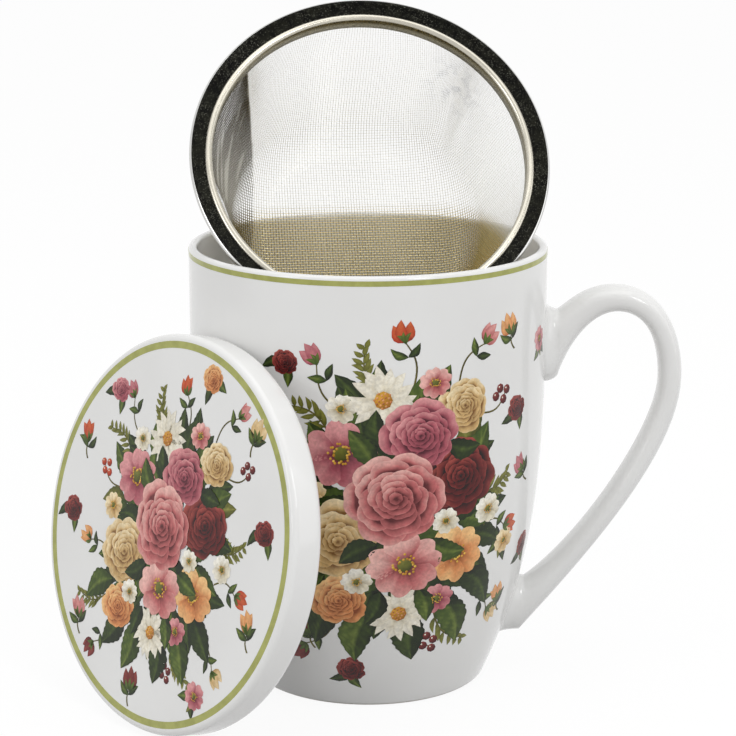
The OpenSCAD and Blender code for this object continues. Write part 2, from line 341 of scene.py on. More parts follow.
def darkFlangeFinish():
    steel = Finish("paintedDarkFlange", {"Metallic": 0.3, "Specular IOR Level": 0.1})
    place = steel.place()
    glintGrains = steel.node("ShaderNodeTexVoronoi", {"Vector": place, "Scale": darkFlange["glintGrains"]}, "Color")
    patches = steel.spread(steel.noise(place, darkFlange["patches"], 3.0), 0.42, 0.66)
    # painted glints: the brightest grains, in patches
    bright = steel.spread(steel.part(glintGrains, "X"), darkFlange["glintFrom"], 1.0) * (0.35 + patches * 0.65)
    mottle = steel.spread(steel.noise(place, darkFlange["mottle"], 4.0), 0.35, 0.7)
    dark = steel.mixColours(mottle, darkFlange["dark"], darkFlange["mottled"])
    steel.feed("Base Color", steel.mixColours(bright, dark, darkFlange["bright"]))
    steel.feed("Roughness", darkFlange["roughness"] - bright * 0.2)
    steel.bump(steel.noise(place, darkFlange["dents"], 3.0), *darkFlange["relief"])
    return steel


flangeSteel = darkFlangeFinish()

mug = {
    "radius": 42.5, "height": 106.0, "wall": 3.2, "lip": 2.1, "straight": 7.0,
    "floor": 6.0, "fillet": 9.0, "footRadius": 27.0, "footRing": 3.6, "footHollow": 2.0,
    "footRound": 1.8, "footAngle": 66.0, "footPull": 32.6, "topPull": 46.0,
    "steps": 192, "wallSteps": 44,
}
footCentre = Vector((mug["footRadius"], mug["footRound"]))
footLean = radians(mug["footAngle"])
wallStart = footCentre + mug["footRound"] * Vector((sin(footLean), -cos(footLean)))
wallTop = Vector((mug["radius"], mug["height"] - mug["straight"]))
wallKnots = (
    wallStart,
    wallStart + mug["footPull"] * Vector((cos(footLean), sin(footLean))),
    wallTop - Vector((0, mug["topPull"])),
    wallTop,
)
wallSamples = [bezier(wallKnots, i / 200) for i in range(201)]


def wallRadius(height):
    # outer radius of the wall at a height or an array of heights, in mm
    return np.interp(height, [p.y for p in wallSamples], [p.x for p in wallSamples])


def mugOutline():
    steps = mug["wallSteps"]
    outer = [bezier(wallKnots, i / steps) for i in range(steps + 1)]
    inner = []
    for i, point in enumerate(outer):
        t = i / steps
        point = point - between(mug["wall"], mug["lip"], t * t) * bezierNormal(wallKnots, t)
        if point.y > mug["floor"] + mug["fillet"]:
            inner.append(point)
    top = inner[0]
    corner = Vector((top.x - 0.4 * mug["fillet"], mug["floor"]))
    end = corner - Vector((mug["fillet"], 0))
    fillet = (end, between(end, corner, 0.7), between(top, corner, 0.6), top)
    lip = mug["lip"] / 2
    ring = mug["footRadius"] - mug["footRing"]
    hollow = mug["footHollow"]
    cove = (Vector((ring - hollow - 1, hollow)), Vector((ring - hollow, hollow)),
            Vector((ring - 0.8, 0.9)), Vector((ring - 0.3, 0.25)))
    return (
        [Vector((0, hollow))]
        + [bezier(cove, i / 6) for i in range(7)]
        + [Vector((ring + 0.4, 0))]
        + arc(footCentre, mug["footRound"], -90, mug["footAngle"] - 90, 8)
        + outer[1:]
        + arc((mug["radius"] - lip, mug["height"] - lip), lip, 0, 180, 16)
        + inner[::-1]
        + [bezier(fillet, i / 14) for i in range(13, -1, -1)]
        + [Vector((0, mug["floor"]))]
    )


mugBody = turned("mugBody", mugOutline(), mug["steps"])
smooth(mugBody)
belongs(mugBody, "mug", "porcelain", bodyGlaze, "mug_body")
print("mug body turned")

handle = {
    "width": 9.6, "flare": 2.6, "fade": 0.16, "square": 2.5,
    "padSpread": 2.2, "padSink": 1.4, "crookRise": 0.6, "heelDrop": 0.8,
    "sides": 40, "ringsPerThird": 22, "padRings": 6,
    "outer": ((44.4, 90.0), (58.9, 95.7), (75.2, 73.8), (36.9, 9.8)),
    "inner": ((45.6, 74.7), (59.4, 89.5), (69.7, 72.9), (38.4, 22.7)),
    "outerPull": ((1.4, -2), (9.8, 0), (10.7, 0), (0, 11.6), (0, 18.8), (17.9, 21.1)),
    "innerPull": ((3.4, 9.7), (4.7, 0), (5.7, 0), (0, 11.6), (0, 12.6), (12.3, 8.3)),
}


def railKnots(knots, pulls):
    a, b, c, d = [Vector(k) for k in knots]
    p = [Vector(k) for k in pulls]
    return ((a, a + p[0], b - p[1], b), (b, b + p[2], c + p[3], c), (c, c - p[4], d + p[5], d))


def handleRings():
    outerRail = railKnots(handle["outer"], handle["outerPull"])
    innerRail = railKnots(handle["inner"], handle["innerPull"])
    rings = []
    for part in range(3):
        for i in range(0 if part == 0 else 1, handle["ringsPerThird"] + 1):
            t = i / handle["ringsPerThird"]
            way = (part + t) / 3
            flare = exp(-(way / handle["fade"]) ** 2) + exp(-((1 - way) / handle["fade"]) ** 2)
            half = (handle["width"] + handle["flare"] * flare) / 2
            rings.append((bezier(outerRail[part], t), bezier(innerRail[part], t), half, 0))
    spread = handle["padSpread"]
    top = padRings(rings[0], rings[0][0].y + spread, rings[0][1].y - spread, belly=True)
    low = padRings(rings[-1], rings[-1][0].y - handle["heelDrop"], rings[-1][1].y + handle["crookRise"])
    return top[::-1] + rings + low


def padRings(ring, outerHeight, innerHeight, belly=False):
    # from the strap's end out to the wall in a soft fillet, then a little way into the wall
    outer, inner, half, _ = ring
    foot = Vector((wallRadius(outerHeight), outerHeight)), Vector((wallRadius(innerHeight), innerHeight))
    rings = []
    for i in range(1, handle["padRings"] + 1):
        turn = i / handle["padRings"] * pi / 2
        slide, grow = sin(turn), 1 - cos(turn)  # towards the wall, and outwards along it
        under = (grow, slide) if belly else (slide, grow)  # the top root rounds on under itself
        rings.append((
            Vector((between(outer.x, foot[0].x, slide), between(outer.y, foot[0].y, grow))),
            Vector((between(inner.x, foot[1].x, under[0]), between(inner.y, foot[1].y, under[1]))),
            half + handle["padSpread"] * grow, slide,
        ))
    sink = Vector((handle["padSink"], 0))
    rings.append((foot[0] - sink, foot[1] - sink, half + handle["padSpread"], 1))
    return rings


def handlePoint(ring, share):
    outer, inner, half, wrap = ring
    turn = tau * share
    power = 2 / handle["square"]
    along = copysign(abs(cos(turn)) ** power, cos(turn))
    across = copysign(abs(sin(turn)) ** power, sin(turn))
    point = (outer + inner) / 2 + (outer - inner) / 2 * along
    side = half * across
    wrapped = sqrt(point.x ** 2 - side ** 2)  # follows the round wall at the roots
    return Vector((between(point.x, wrapped, wrap), side, point.y)) * mm


workOn()
bpy.ops.mesh.primitive_circle_add(vertices=handle["sides"], radius=5 * mm)
mugHandle = bpy.context.object
mugHandle.name = mugHandle.data.name = "mugHandle"
bpy.ops.object.mode_set(mode="EDIT")
handleMesh = bmesh.from_edit_mesh(mugHandle.data)
around = handleMesh.verts.layers.float.new("around")  # each corner's place round the strap
for vertex in handleMesh.verts:
    vertex[around] = (atan2(vertex.co.y, vertex.co.x) / tau) % 1
for count, ring in enumerate(handleRings()):
    if count:
        bpy.ops.mesh.extrude_region_move(TRANSFORM_OT_translate={"value": (0, 0, mm)})
    handleMesh = bmesh.from_edit_mesh(mugHandle.data)
    around = handleMesh.verts.layers.float["around"]
    for vertex in handleMesh.verts:
        if vertex.select:
            vertex.co = handlePoint(ring, vertex[around])
    bmesh.update_edit_mesh(mugHandle.data)
wholeMesh()
bpy.ops.mesh.fill_holes(sides=0)
wholeMesh()
bpy.ops.mesh.normals_make_consistent(inside=False)
bpy.ops.object.mode_set(mode="OBJECT")
smooth(mugHandle, 50)
belongs(mugHandle, "mug", "porcelain", handleGlaze, "mug_handle")
print("handle drawn along its rails")


# the infuser is made upright with the top of its rolled edge at z = 0, then set in its place
infuser = {
    "rimRadius": 42.2, "mouthRadius": 36.85, "sheet": 0.5, "bend": 0.4, "roll": 0.8, "rolled": (205, 510),
    "dish": 1.1, "collar": 3.4, "beadHeight": 0.6, "beadWidth": 1.8, "easedEdge": 0.15,
    "tip": 54.2, "turn": 6.9, "rise": 21.5, "gap": 1.2, "shift": 0.7,
    "steps": 160,
    "darkTo": 0.3,  # how far past the roll's middle the dark finish reaches
}
basket = {
    "depth": 44.0, "corner": 11.0, "taper": 6.35, "thick": 0.5, "edge": 0.3,
    "pitch": 0.69, "wire": 0.056, "weave": 0.055,
    "drawn": 32.0,  # past this way from the middle the wires are drawn thinner
    "crushedSwell": (1.4, 2.8), "insideSwell": 2.0,
    "creases": (  # place round the axis, height, width, length and depth
        (184.0, -20.0, 3.5, 30.0, 1.6), (193.0, -22.0, 2.2, 26.0, -1.2), (201.0, -18.0, 2.6, 20.0, 1.0),
        (38.0, -26.0, 3.0, 16.0, 1.1), (46.0, -24.0, 2.4, 18.0, -0.9),
    ),
}


def infuserPlace():
    tip = radians(infuser["tip"])
    drop = infuser["rise"] / sin(tip)
    mouth = mug["radius"] - mug["lip"] - infuser["gap"]
    chord = -sqrt(mouth ** 2 - infuser["rimRadius"] ** 2 + drop ** 2)
    centre = Vector((infuser["shift"], chord + drop * cos(tip), mug["height"] + infuser["rise"])) * mm
    return (Matrix.Translation(centre)
            @ Matrix.Rotation(radians(infuser["turn"]), 4, "Z")
            @ Matrix.Rotation(tip, 4, "X"))


flange = -infuser["dish"]
collarLow = flange - infuser["collar"]
hoop = infuser["mouthRadius"] + infuser["sheet"]
meshOuter = hoop + basket["thick"]
meshRadius = meshOuter - basket["thick"] / 2
rollCentre = infuser["rimRadius"] - infuser["roll"]
bend, underBend = infuser["bend"], infuser["sheet"] + infuser["bend"]
# the sheet runs up the collar, out over a soft bend along the flange, and into the roll
rimOutline = (
    [(meshOuter, collarLow), (meshOuter + infuser["sheet"], collarLow)]
    + arc((meshOuter + underBend, flange - underBend), bend, 180, 90, 4)
    + arc((rollCentre, -infuser["roll"]), infuser["roll"], *infuser["rolled"], 26)
    + arc((meshOuter + bend, flange - bend), bend, 90, 180, 4)
)


def steelRing(name, outline, angle, bright, dark, isDark, node):
    # a ring spun from its outline, bright but for the faces that isDark picks; these take the dark finish, a
    # painted dark reflection on the flange and painted shade on the band's inner hoop
    ring = turned(name, outline, infuser["steps"], closed=True)
    ring.data.materials.append(bright.material)
    for face in ring.data.polygons:
        face.material_index = int(isDark(face))
    smooth(ring, angle)
    put(ring, infuserPlace())
    belongs(ring, "infuser", "steel", dark, node)
    print(node, "turned")


def onFlange(face):
    reach = face.center.xy.length / mm
    return meshOuter - 1 < reach < rollCentre + infuser["darkTo"] and face.normal.z > -0.2


def onHoop(face):
    return face.normal.xy.dot(face.center.xy) < 0 and face.normal.z < 0.3


steelRing("infuserRim", rimOutline, 40, rimSteel, flangeSteel, onFlange, "infuser_rim")
half = infuser["beadWidth"] / 2
beadRadius = (half ** 2 + infuser["beadHeight"] ** 2) / (2 * infuser["beadHeight"])
beadTurn = degrees(asin(half / beadRadius))
mouth, eased = infuser["mouthRadius"], infuser["easedEdge"]
bandOutline = (
    [(mouth, collarLow + eased), (mouth + eased, collarLow), (hoop, collarLow), (hoop, flange)]
    + arc((mouth + half, flange + infuser["beadHeight"] - beadRadius), beadRadius,
          90 - beadTurn, 90 + beadTurn, 12)
)
steelRing("infuserBand", bandOutline, 50, bandSteel, hoopShadeSteel, onHoop, "infuser_band")

baseRadius = meshOuter - basket["taper"] - basket["corner"]
cornerRadius = basket["corner"] - basket["thick"] / 2
cornerHeight = -(basket["depth"] - basket["corner"])
lean = atan2(basket["taper"], basket["depth"] - basket["corner"] + collarLow)
cornerEnd = Vector((baseRadius + cornerRadius * cos(lean), cornerHeight - cornerRadius * sin(lean)))
wallEnd = Vector((meshRadius, collarLow))
# ways along the net from its middle: to the corner's end, the wall's end and the net's edge
cornerWay = baseRadius + cornerRadius * (pi / 2 - lean)
wallWay = cornerWay + (wallEnd - cornerEnd).length
netWay = wallWay + infuser["collar"] - basket["edge"]


def basketPoint(x, y, lift):
    # bends a point of the flat net (x, y) onto the basket; lift is its height over the middle surface
    way, turn = hypot(x, y), atan2(y, x)
    if way < baseRadius:
        radius, height, out = way, cornerHeight - cornerRadius, Vector((0, -1))
    elif way < cornerWay:
        a = -pi / 2 + (way - baseRadius) / cornerRadius
        out = Vector((cos(a), sin(a)))
        radius, height = baseRadius + cornerRadius * out.x, cornerHeight + cornerRadius * out.y
    elif way < wallWay:
        point = between(cornerEnd, wallEnd, (way - cornerWay) / (wallWay - cornerWay))
        radius, height, out = point.x, point.y, Vector((cos(lean), -sin(lean)))
    else:
        radius, height, out = meshRadius, collarLow + way - wallWay, Vector((1, 0))
    if way > 0:
        pull = min(0.6, way / radius - 1) / 4  # the square net is drawn in at its corners
        turn += pull * sin(4 * turn)
    for angle, middle, wide, tall, deep in basket["creases"]:
        aside = (degrees(turn) - angle + 180) % 360 - 180
        lift -= deep * exp(-(aside / wide) ** 2 - ((height - middle) / tall * 2) ** 2)
    radius, height = radius + out.x * lift, height + out.y * lift
    return Vector((radius * cos(turn), radius * sin(turn), height)) * mm


def wireSwell(way, spot):
    # thinner where the net is drawn, flattened wide where it is crushed, thickened low down inside the mug's
    # mouth
    def share(low, high):
        return min(1, max(0, (spot.z - low) / (high - low)))
    swell = min(1, basket["drawn"] / max(way, 1))
    swell *= between(basket["insideSwell"], 1, share(wire["insideShadeLow"], wire["insideShadeTop"]))
    if spot.x < wire["crushedShaded"]:
        swell *= between(*basket["crushedSwell"], share(wire["insideShadeTop"], wire["crushedTop"]))
    return swell


def wireNet(name, side, start, stop):
    # side 0 runs along X, side 1 along Y; every wire passes over and under in turn
    net = bpy.data.curves.new(name, "CURVE")
    net.dimensions = "3D"
    net.bevel_depth, net.bevel_resolution = basket["wire"] * mm, 0
    pitch = basket["pitch"]
    reach = int(netWay / pitch)
    placed = infuserPlace()
    for row in range(int(start * reach), int(stop * reach)):
        places = [(c, row) for c in range(-reach, reach + 1) if hypot(c, row) * pitch < netWay]
        if len(places) < 4:
            continue
        spline = net.splines.new("POLY")
        spline.points.add(len(places) - 1)
        for point, (c, r) in zip(spline.points, places):
            lift = basket["weave"] * (1 if (c + r + side) % 2 else -1)
            x, y = (c, r) if side == 0 else (r, c)
            spot = basketPoint(x * pitch, y * pitch, lift)
            point.co = (*spot, 1)
            point.radius = wireSwell(hypot(c, r) * pitch, placed @ spot)
    piece = workOn(added(name, net))
    bpy.ops.object.convert(target="MESH")
    put(piece, infuserPlace())
    bpy.ops.object.shade_smooth()
    belongs(piece, "infuser", "steel_mesh", (acrossSteel, alongSteel)[side], "infuser_basket")
    print(name, "woven,", sum(len(p.vertices) - 2 for p in piece.data.polygons), "triangles")


wireNet("basketWiresAcrossA", 0, -1, 0)
wireNet("basketWiresAcrossB", 0, 0, 1)
wireNet("basketWiresAlongA", 1, -1, 0)
wireNet("basketWiresAlongB", 1, 0, 1)

# the lid is made face up with its seat at z = 0, then leant against the mug
lid = {
    "radius": 45.6, "thick": 8.8, "faceRound": 1.5, "seatRound": 2.6, "plate": 4.2,
    "ringOut": 34.75, "ringWide": 3.4, "ringHigh": 2.0, "ringRound": 0.8, "ringFoot": 0.5,
    "turn": 49.1, "lean": 12.1, "gap": 0.3, "shift": -0.9, "steps": 192,
}


def lidPlace():
    tilt = radians(lid["lean"])
    high = (lid["radius"] - lid["seatRound"]) * cos(tilt) + lid["seatRound"] * (1 - sin(tilt))
    ringRound = lid["ringRound"]
    out = (mug["radius"] + lid["gap"] + ringRound + (lid["ringHigh"] - ringRound) * cos(tilt)
           + (lid["ringOut"] - ringRound) * sin(tilt))
    return (Matrix.Rotation(radians(-lid["turn"]), 4, "Z")
            @ Matrix.Translation(Vector((lid["shift"], -out, high)) * mm)
            @ Matrix.Rotation(pi / 2 - tilt, 4, "X"))


ceiling = lid["thick"] - lid["plate"]
ringIn = lid["ringOut"] - lid["ringWide"]
ringRound, ringFoot = lid["ringRound"], lid["ringFoot"]
lidOutline = (
    [(0, lid["thick"]), (lid["radius"] - 6, lid["thick"])]
    + arc((lid["radius"] - lid["faceRound"], lid["thick"] - lid["faceRound"]), lid["faceRound"], 90, 0, 10)
    + arc((lid["radius"] - lid["seatRound"], lid["seatRound"]), lid["seatRound"], 0, -90, 12)
    + arc((lid["ringOut"] + ringFoot, -ringFoot), ringFoot, 90, 180, 4)
    + arc((lid["ringOut"] - ringRound, ringRound - lid["ringHigh"]), ringRound, 0, -90, 6)
    + arc((ringIn + ringRound, ringRound - lid["ringHigh"]), ringRound, -90, -180, 6)
    + arc((ringIn - ringRound, ceiling - ringRound), ringRound, 0, 90, 6)
    + [(0, ceiling)]
)
lidBody = turned("lidPlate", lidOutline, lid["steps"])
smooth(lidBody)
put(lidBody, lidPlace())
belongs(lidBody, "lid", "porcelain", lidGlaze, "lid")
print("lid turned")


lines = {
    "mug": (103.85, 105.05),  # lower and upper edge
    "lid": (42.3, 43.9),  # inner and outer radius
    "proud": 0.035, "sunk": 0.1,  # over and under the glaze
}


def greenLine(name, body, corners, place):
    line = turned(name, corners, mug["steps"], closed=True)
    smooth(line)
    put(line, place)
    belongs(line, body, "porcelain", lineEnamel)


sunk, proud = mug["radius"] - lines["sunk"], mug["radius"] + lines["proud"]
low, high = lines["mug"]
greenLine("mugGreenLine", "mug", [(sunk, low), (proud, low), (proud, high), (sunk, high)], Matrix())
sunk, proud = lid["thick"] - lines["sunk"], lid["thick"] + lines["proud"]
inner, outer = lines["lid"]
greenLine("lidGreenLine", "lid", [(inner, sunk), (inner, proud), (outer, proud), (outer, sunk)], lidPlace())
print("green lines banded")

# The print is a thin stack of painted patches on the wall or the lid: petals, leaves, stems and
# berries, each a curved grid with its own brushed colours.
tones = {
    "pink": ((92, 30, 34), (190, 102, 102), (240, 190, 180)),
    "mauve": ((80, 24, 38), (168, 82, 94), (226, 158, 158)),
    "wine": ((30, 4, 6), (98, 24, 24), (172, 78, 68)),
    "cream": ((122, 82, 38), (206, 170, 112), (246, 228, 188)),
    "peach": ((130, 62, 22), (212, 136, 80), (244, 202, 140)),
    "white": ((132, 118, 86), (214, 204, 178), (248, 244, 232)),
    "red": ((88, 16, 6), (178, 56, 26), (230, 126, 70)),
    "leaf": ((16, 26, 5), (66, 86, 24), (134, 148, 64)),
    "ivy": ((9, 16, 4), (38, 54, 15), (88, 106, 42)),
    "olive": ((42, 44, 10), (102, 104, 36), (160, 156, 78)),
    "stem": ((38, 32, 10), (86, 78, 28), (140, 132, 62)),
    "gold": ((132, 76, 10), (206, 146, 40), (244, 208, 96)),
}
paint = {
    "layer": 0.007, "clear": 0.02,  # height of a layer, and gap to the glaze
    "cell": 1.0,  # size of the cells in a patch
    "dots": 1500.0, "brush": 420.0, "smears": 140.0,  # scales of the print's grain
    "lidScale": 0.85, "lidWiden": 1.14,  # the lid's posy is smaller, and wider for its height
    "blooms": (  # kind, x, y, radius, turn, tones, level
        ("rose", -13.5, -23.5, 7.0, 20, "peach", 8), ("rose", 15.5, 22.5, 6.8, 50, "cream", 8),
        ("blossom", -13.5, 12.5, 9.0, 15, "mauve", 8), ("daisy", -4.0, 25.0, 8.2, 5, "white", 8),
        ("daisy", 0.5, -27.0, 7.4, 12, "white", 8), ("blossom", 9.6, -24.0, 4.4, 30, "mauve", 8),
        ("blossom", -13.5, 23.0, 4.0, 10, "white", 8), ("blossom", 8.0, 28.5, 4.2, 30, "pink", 8),
        ("blossom", -21.0, 2.5, 4.4, 30, "cream", 8), ("blossom", 23.0, -3.5, 4.2, 0, "white", 8),
        ("rose", 14.6, 6.0, 9.8, 30, "wine", 14), ("rose", -14.0, -8.5, 10.2, 80, "cream", 14),
        ("blossom", 14.0, -13.0, 8.4, 40, "peach", 14), ("blossom", 1.5, -14.5, 9.2, 30, "pink", 22),
        ("rose", 4.5, 16.5, 9.2, 10, "mauve", 22), ("rose", -1.0, 2.0, 12.2, 65, "pink", 30),
        ("blossom", -9.5, -18.5, 3.8, 20, "white", 28), ("blossom", 11.0, -4.5, 3.6, 50, "white", 28),
    ),
    "leafRings": (  # count, half width, half height, length, width, level
        (19, 17.5, 24.5, 12.5, 5.8, 1), (17, 14.5, 21.0, 12.5, 6.6, 3), (13, 10.0, 16.5, 11.5, 7.2, 5),
        (9, 5.0, 9.0, 12.0, 8.0, 6),
    ),
    "leaves": (  # x, y, turn, length, width, tones, level
        (9, 8, 20, 10, 6, "leaf", 13), (-9, -1, 170, 11, 6.4, "ivy", 13),
        (7, -9, -20, 10, 5.6, "leaf", 21), (-6, 10, 125, 10, 5.6, "leaf", 21),
        (-5, -9, -150, 10, 5.4, "ivy", 21), (11, 14, -8, 9, 5, "ivy", 20),
        (-4, 14, 100, 9, 5, "ivy", 21), (5, -21, -75, 9, 5, "leaf", 12),
        (-4, -21, -110, 9, 5, "ivy", 12), (-12, -23, -118, 14, 8, "ivy", 5),
        (-6, -26, -102, 14, 8, "leaf", 6), (3, -27, -84, 13, 8, "ivy", 5),
        (10, -24, -66, 14, 8, "leaf", 6), (15, -18, -48, 14, 7.5, "ivy", 5),
        (-17, -17, -145, 13, 7.5, "leaf", 5),
    ),
    "twigs": (  # foot x, y, tip x, y, bow, what it ends in
        (-12, 22, -19, 33, 2.5, "bud", "mauve"), (3, 28, 1, 38, -1.5, "bud", "red"),
        (14, 28, 21, 36, 2, "bud", "pink"),
        (20, 20, 28, 24, -2, "berries", "wine"), (-19, 8, -27, 13, 2, "berries", "red"),
        (-19, -12, -28, -9, -2, "bud", "peach"), (-14, -27, -21, -36, 2, "bud", "wine"),
        (4, -29, 9, -37, -2, "berries", "wine"), (17, -22, 25, -30, 2, "bud", "cream"),
        (21, -8, 29, -9, 2, "bud", "red"), (-4, 26, -8, 37, 2, "fern", "olive"),
        (20, 2, 29, 4, -2, "fern", "olive"), (-19, -22, -29, -24, 2, "fern", "olive"),
        (9, -27, 17, -36, -2, "fern", "olive"), (-16, 17, -26, 23, -2, "fern", "olive"),
    ),
}
paintTones = {name: [np.array(colour(*tone)) for tone in three] for name, three in tones.items()}


def shade(name, light):
    # a colour between a tone's dark (0), middle (0.5) and light (1), for an array of lights
    dark, middle, bright = paintTones[name]
    light = np.clip(light, 0, 1)[..., None] * 2
    return np.where(light < 1, dark + (middle - dark) * light, middle + (bright - middle) * (light - 1))


class Print:
    def __init__(self, seed):
        self.chance = random.Random(seed)
        self.vary = self.chance.uniform
        self.points, self.colours, self.faces = [], [], []

    def patch(self, x, y, level, tone, light):
        rows, columns = x.shape
        first = sum(len(p) for p in self.points)
        height = np.broadcast_to(level, x.shape) * paint["layer"]
        self.points.append(np.stack([x, y, height], -1).reshape(-1, 3))
        self.colours.append(np.broadcast_to(shade(tone, light), (rows, columns, 3)).reshape(-1, 3))
        for r in range(rows - 1):
            for c in range(columns - 1):
                a = first + r * columns + c
                self.faces.append((a, a + 1, a + columns + 1, a + columns))

    def wave(self, values, amount):
        # a smooth random wobble over an array
        pulls = enumerate((2.3, 5.1, 9.7), 1)
        return amount * sum(np.sin(values * pull + self.vary(0, 6.3)) / i for i, pull in pulls)

    def grid(self, length, width):
        rows = max(5, ceil(length / paint["cell"]) + 1)
        columns = max(5, ceil(width / paint["cell"]) + 1)
        return np.linspace(0, 1, rows)[:, None], np.linspace(-1, 1, columns + 1 - columns % 2)[None, :]

    def fanPetal(self, x, y, turn, hidden, outer, half, level, tone, base, squash, rounding=3.0, notch=0.05):
        # a petal as a fan from the bloom's middle, shaded from the radius where the next ring hides it
        u = self.grid(1, 2 * half * outer)[1]
        start = hidden / outer
        v = np.concatenate([[start * 0.6], np.linspace(start, 1, 6)])[:, None]
        edge = 1 - 0.32 * np.abs(u) ** rounding - notch * np.exp(-(u / 0.18) ** 2) + self.wave(u, 0.022)
        reach = outer * v * (1 + (edge - 1) * v)
        angle = turn + half * u + self.wave(v * 2, 0.015)
        px, py = x + reach * np.cos(angle), y + reach * np.sin(angle) * squash
        seen = np.clip((v - start) / (1 - start), 0, 1)
        cup = np.sin(seen * pi * 0.62)  # lighter towards the curled edge
        light = base - 0.40 + 0.66 * cup - 0.30 * np.clip(-u - 0.25, 0, 1) - 0.12 * np.abs(u)
        light = light + 0.19 * np.cos(angle - 2.2) + self.wave(u * 3.0, 0.05) * (1 - 0.4 * seen)
        light = light + 0.16 * (seen > 0.9) - 0.16 * (seen < 0.05)
        self.patch(px, py, level + 0.5 * u, tone, light)

    def rose(self, x, y, radius, turn, tone, level):
        shares = (1.0, 0.82, 0.66, 0.51, 0.37, 0.25, 0.14, 0.0)
        counts = (6, 6, 5, 5, 4, 4, 3)
        squash = self.vary(0.86, 0.98)
        for ring, count in enumerate(counts):
            for k in range(count):
                angle = turn + ring * 0.55 + tau * k / count + self.vary(-0.16, 0.16)
                outer = radius * shares[ring] * self.vary(0.93, 1.07)
                base = 0.50 + self.vary(-0.09, 0.09) - 0.045 * ring
                hidden = radius * shares[ring + 1] * 0.92
                half = pi / count * 1.36
                self.fanPetal(x, y, angle, hidden, outer, half, level + ring, tone, base, squash)

    def blossom(self, x, y, radius, turn, tone, level):
        for k in range(5):
            angle = turn + tau * k / 5 + self.vary(-0.06, 0.06)
            outer = radius * self.vary(0.94, 1.04)
            self.fanPetal(x, y, angle, radius * 0.16, outer, 0.74, level + k % 2, tone, 0.60, 0.92, 2.4, 0.14)
        self.disc(x, y, radius * 0.20, level + 3, "olive", 0.5)
        for k in range(26):
            angle, reach = k * 2.4, radius * (0.16 + 0.17 * self.chance.random())
            dotX, dotY = x + reach * cos(angle), y + reach * sin(angle) * 0.92
            self.disc(dotX, dotY, radius * 0.035, level + 4, "gold", self.vary(0.4, 0.9))

    def daisy(self, x, y, radius, turn, tone, level):
        for ring, (share, count) in enumerate(((1.0, 15), (0.8, 13))):
            for k in range(count):
                angle = turn + ring * 0.2 + tau * k / count + self.vary(-0.05, 0.05)
                reach = radius * share * self.vary(0.92, 1.04)
                foot, high = stepped(x, y, angle, 0.8), level + ring + 0.4 * (k % 2)
                self.leaf(*foot, angle, reach - 0.8, radius * 0.34, tone, high, 0.66, False)
        self.disc(x, y, radius * 0.26, level + 4, "gold", 0.45)
        for k in range(18):
            angle, reach = k * 2.4, radius * 0.25 * sqrt(k / 18)
            self.disc(*stepped(x, y, angle, reach), radius * 0.035, level + 5, "peach", self.vary(0.2, 0.7))

    def leaf(self, x, y, turn, length, width, tone, level, base=0.5, veins=True):
        v, u = self.grid(length, width)
        if veins:
            v = np.linspace(0, 1, v.shape[0] + 4)[:, None]
        bow = self.vary(-0.16, 0.16)
        half = width / 2 * np.sin(pi * np.clip(v, 0.002, 0.998) ** 0.82) ** 0.85
        if veins:
            half = half * (1 + 0.05 * np.sign(np.sin(v * 46)))
        along, aside = v * length, u * half + bow * length * np.sin(v * pi)
        light = base + self.wave(v * 3 + u, 0.05)
        if veins:
            rib = np.exp(-(u / 0.10) ** 2)
            rungs = np.clip(np.sin(v * 30 - np.abs(u) * 5), 0.4, 1) - 0.4
            light = light + 0.16 * np.sign(u) * np.sin(turn) - 0.12 + 0.30 * rib + 0.24 * rungs
            light = light - 0.18 * (np.abs(u) > 0.95)
            light = light - 0.30 * np.clip(1 - v * 2.2, 0, 1)  # darker where it comes from under the blooms
        else:
            light = light + 0.22 * v - 0.16 * np.abs(u) ** 2 - 0.2 * (v < 0.25)
        self.patch(*stepped(x, y, turn, along, aside), level, tone, light)

    def disc(self, x, y, radius, level, tone, base):
        ring = np.linspace(0, tau, 9)[None, :]
        reach = np.array([0.02, 0.55, 1.0])[:, None] * radius
        light = base + 0.30 * (reach / radius) * np.cos(ring - 2.2) - 0.12 * (reach / radius) ** 2
        self.patch(x + reach * np.cos(ring), y + reach * np.sin(ring), level, tone, light)

    def stem(self, start, end, bow, width, level):
        t = np.linspace(0, 1, max(5, ceil(dist(start, end) / paint["cell"])))[:, None]
        side = np.array([-1.0, 1.0])[None, :]
        dx, dy = end[0] - start[0], end[1] - start[1]
        size = hypot(dx, dy)
        offset = bow * np.sin(t * pi) + side * width / 2 * (1 - 0.4 * t)
        light = 0.45 + 0.2 * side + self.wave(t * 2, 0.08)
        px, py = start[0] + dx * t - dy / size * offset, start[1] + dy * t + dx / size * offset
        self.patch(px, py, level, "stem", light)

    def bud(self, x, y, turn, size, tone, level):
        for lean, share in ((0.42, 0.92), (-0.42, 0.92), (0.0, 1.0)):
            self.leaf(x, y, turn + lean, size * share, size * 0.52, tone, level + (lean == 0), 0.55, False)
        x, y = stepped(x, y, turn, -0.3)
        for lean in (0.62, -0.62, 0.0):
            self.leaf(x, y, turn + lean, size * 0.55, size * 0.2, "leaf", level + 2, 0.5, False)

